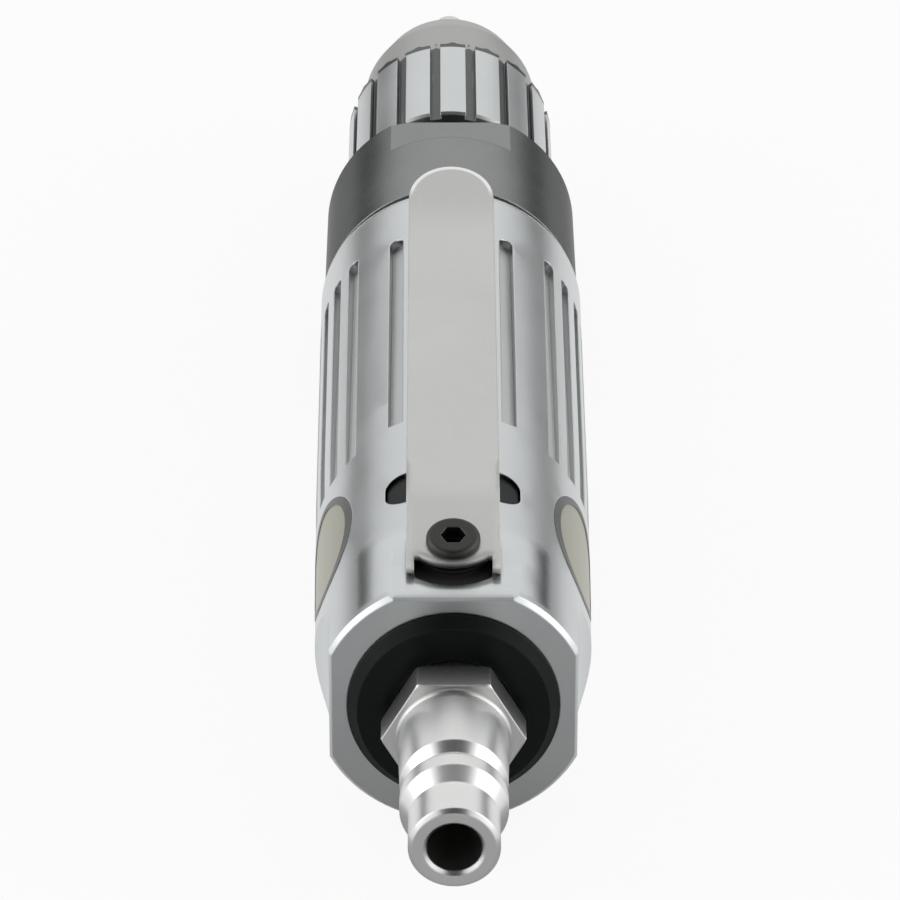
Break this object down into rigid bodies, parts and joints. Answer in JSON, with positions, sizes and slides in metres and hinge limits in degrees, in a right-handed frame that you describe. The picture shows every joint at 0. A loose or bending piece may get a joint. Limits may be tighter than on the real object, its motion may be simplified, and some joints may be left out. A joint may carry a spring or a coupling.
{
  "type": "straight air drill",
  "caption": "Straight in-line air drill: fluted round housing with a throttle lever on top, quick-connect air plug behind, planet gear, spindle and ribbed keyless chuck in front.",
  "frame": {"origin": "centre of the air plug's open end, on the tool's axis", "axes": "+Y along the tool's axis towards the chuck, +Z towards the lever, +X to the right seen from behind"},
  "size_m": [0.0334, 0.2167, 0.0379],
  "materials": {
    "housing_alloy": "satin",
    "lever_steel": "polished",
    "plug_steel": "bright",
    "collar_steel": "dark",
    "chuck_steel": "satin",
    "jaw_steel": "satin",
    "black_plastic": "matte",
    "black_steel": "black",
    "badge": "satin",
    "rubber": "matte",
    "felt": "felted",
    "brass": "satin",
    "bearing_steel": "polished",
    "iron": "machined",
    "vane_resin": "matte"
  },
  "bodies": {
    "housing": {"housing": "housing_alloy", "air_plug": "plug_steel", "rear_cap": "black_plastic", "cap_ring": "rubber", "silencer_felt": "felt", "inlet_bushing": "brass", "inlet_strainer": "brass", "badge_left": "badge", "badge_right": "badge", "lever_screw": "black_steel", "lever_cushion": "rubber", "stem_guide": "brass", "valve_seat": "brass", "valve_spring": "bearing_steel", "rear_end_plate": "iron", "cylinder_liner": "iron", "front_end_plate": "iron", "locating_pin": "bearing_steel", "ring_gear": "chuck_steel", "collar": "collar_steel", "bearing_spacer": "chuck_steel", "snap_ring": "black_steel", "rotor_rear_bearing_outer": "bearing_steel", "rotor_front_bearing_outer": "bearing_steel", "spindle_rear_bearing_outer": "bearing_steel", "spindle_front_bearing_outer": "bearing_steel"},
    "lever": {"lever": "lever_steel"},
    "throttle": {"throttle_button": "black_plastic", "valve_stem": "bearing_steel", "valve_ball": "bearing_steel"},
    "rotor": {"rotor": "chuck_steel", "rotor_vanes": "vane_resin", "rotor_rear_bearing_inner": "bearing_steel", "rotor_front_bearing_inner": "bearing_steel"},
    "spindle": {"spindle": "chuck_steel", "planet_pins": "bearing_steel", "spindle_spacer": "chuck_steel", "spindle_rear_bearing_inner": "bearing_steel", "spindle_front_bearing_inner": "bearing_steel", "chuck_body": "chuck_steel", "chuck_screw": "black_steel"},
    "sleeve": {"chuck_sleeve": "chuck_steel", "jaw_nut": "chuck_steel"},
    "planet_1": {"planet_gear_1": "chuck_steel"},
    "jaw_1": {"jaw_1": "jaw_steel"},
    "planet_2": {"planet_gear_2": "chuck_steel"},
    "jaw_2": {"jaw_2": "jaw_steel"},
    "planet_3": {"planet_gear_3": "chuck_steel"},
    "jaw_3": {"jaw_3": "jaw_steel"},
    "rotor_rear_balls": {"rotor_rear_bearing_balls": "bearing_steel"},
    "rotor_front_balls": {"rotor_front_bearing_balls": "bearing_steel"},
    "spindle_rear_balls": {"spindle_rear_bearing_balls": "bearing_steel"},
    "spindle_front_balls": {"spindle_front_bearing_balls": "bearing_steel"}
  },
  "joints": [
    {"name": "spindle_spin", "type": "hinge", "parent": "housing", "child": "spindle", "pos_m": [0, 0.141, 0], "axis": [0, 1, 0], "continuous": true},
    {"name": "rotor_spin", "type": "hinge", "parent": "housing", "child": "rotor", "pos_m": [0, 0.086, 0], "axis": [0, 1, 0], "continuous": true},
    {"name": "lever_pivot", "type": "hinge", "parent": "housing", "child": "lever", "pos_m": [0, 0.03509, 0.01461], "axis": [1, 0, 0], "range_deg": [-1.9, 0], "stiffness_Nm_per_rad": 3, "springref_deg": 1.72},
    {"name": "throttle_press", "type": "slide", "parent": "housing", "child": "throttle", "axis": [0, 0, -1], "range_m": [0, 0.0006], "deforming": ["valve_spring"]},
    {"name": "sleeve_turn", "type": "hinge", "parent": "spindle", "child": "sleeve", "pos_m": [0, 0.171, 0], "axis": [0, 1, 0], "range_deg": [-570, 1710]},
    {"name": "planet_1_spin", "type": "hinge", "parent": "spindle", "child": "planet_1", "pos_m": [0.00675, 0.115, 0], "axis": [0, 1, 0], "continuous": true},
    {"name": "planet_2_spin", "type": "hinge", "parent": "spindle", "child": "planet_2", "pos_m": [-0.00337, 0.115, -0.00585], "axis": [0, 1, 0], "continuous": true},
    {"name": "planet_3_spin", "type": "hinge", "parent": "spindle", "child": "planet_3", "pos_m": [-0.00337, 0.115, 0.00585], "axis": [0, 1, 0], "continuous": true},
    {"name": "rotor_rear_balls_roll", "type": "hinge", "parent": "housing", "child": "rotor_rear_balls", "pos_m": [0, 0.0636, 0], "axis": [0, 1, 0], "continuous": true},
    {"name": "rotor_front_balls_roll", "type": "hinge", "parent": "housing", "child": "rotor_front_balls", "pos_m": [0, 0.1076, 0], "axis": [0, 1, 0], "continuous": true},
    {"name": "spindle_rear_balls_roll", "type": "hinge", "parent": "housing", "child": "spindle_rear_balls", "pos_m": [0, 0.1321, 0], "axis": [0, 1, 0], "continuous": true},
    {"name": "spindle_front_balls_roll", "type": "hinge", "parent": "housing", "child": "spindle_front_balls", "pos_m": [0, 0.1486, 0], "axis": [0, 1, 0], "continuous": true},
    {"name": "jaw_1_slide", "type": "slide", "parent": "spindle", "child": "jaw_1", "axis": [0, -0.9877, 0.1564], "range_m": [-0.0032, 0.0096]},
    {"name": "jaw_2_slide", "type": "slide", "parent": "spindle", "child": "jaw_2", "axis": [0.1355, -0.9877, -0.0782], "range_m": [-0.0032, 0.0096]},
    {"name": "jaw_3_slide", "type": "slide", "parent": "spindle", "child": "jaw_3", "axis": [-0.1355, -0.9877, -0.0782], "range_m": [-0.0032, 0.0096]}
  ],
  "couplings": [
    {"joint": "rotor_spin", "follows": "spindle_spin", "ratio": 4.5},
    {"joint": "throttle_press", "follows": "lever_pivot", "m_per_rad": -0.017705},
    {"joint": "planet_1_spin", "follows": "spindle_spin", "ratio": -2.8},
    {"joint": "planet_2_spin", "follows": "spindle_spin", "ratio": -2.8},
    {"joint": "planet_3_spin", "follows": "spindle_spin", "ratio": -2.8},
    {"joint": "rotor_rear_balls_roll", "follows": "spindle_spin", "ratio": 1.7293},
    {"joint": "rotor_front_balls_roll", "follows": "spindle_spin", "ratio": 1.845},
    {"joint": "spindle_rear_balls_roll", "follows": "spindle_spin", "ratio": 0.41},
    {"joint": "spindle_front_balls_roll", "follows": "spindle_spin", "ratio": 0.41},
    {"joint": "jaw_1_slide", "follows": "sleeve_turn", "m_per_rad": 0.00031831},
    {"joint": "jaw_2_slide", "follows": "sleeve_turn", "m_per_rad": 0.00031831},
    {"joint": "jaw_3_slide", "follows": "sleeve_turn", "m_per_rad": 0.00031831}
  ]
}
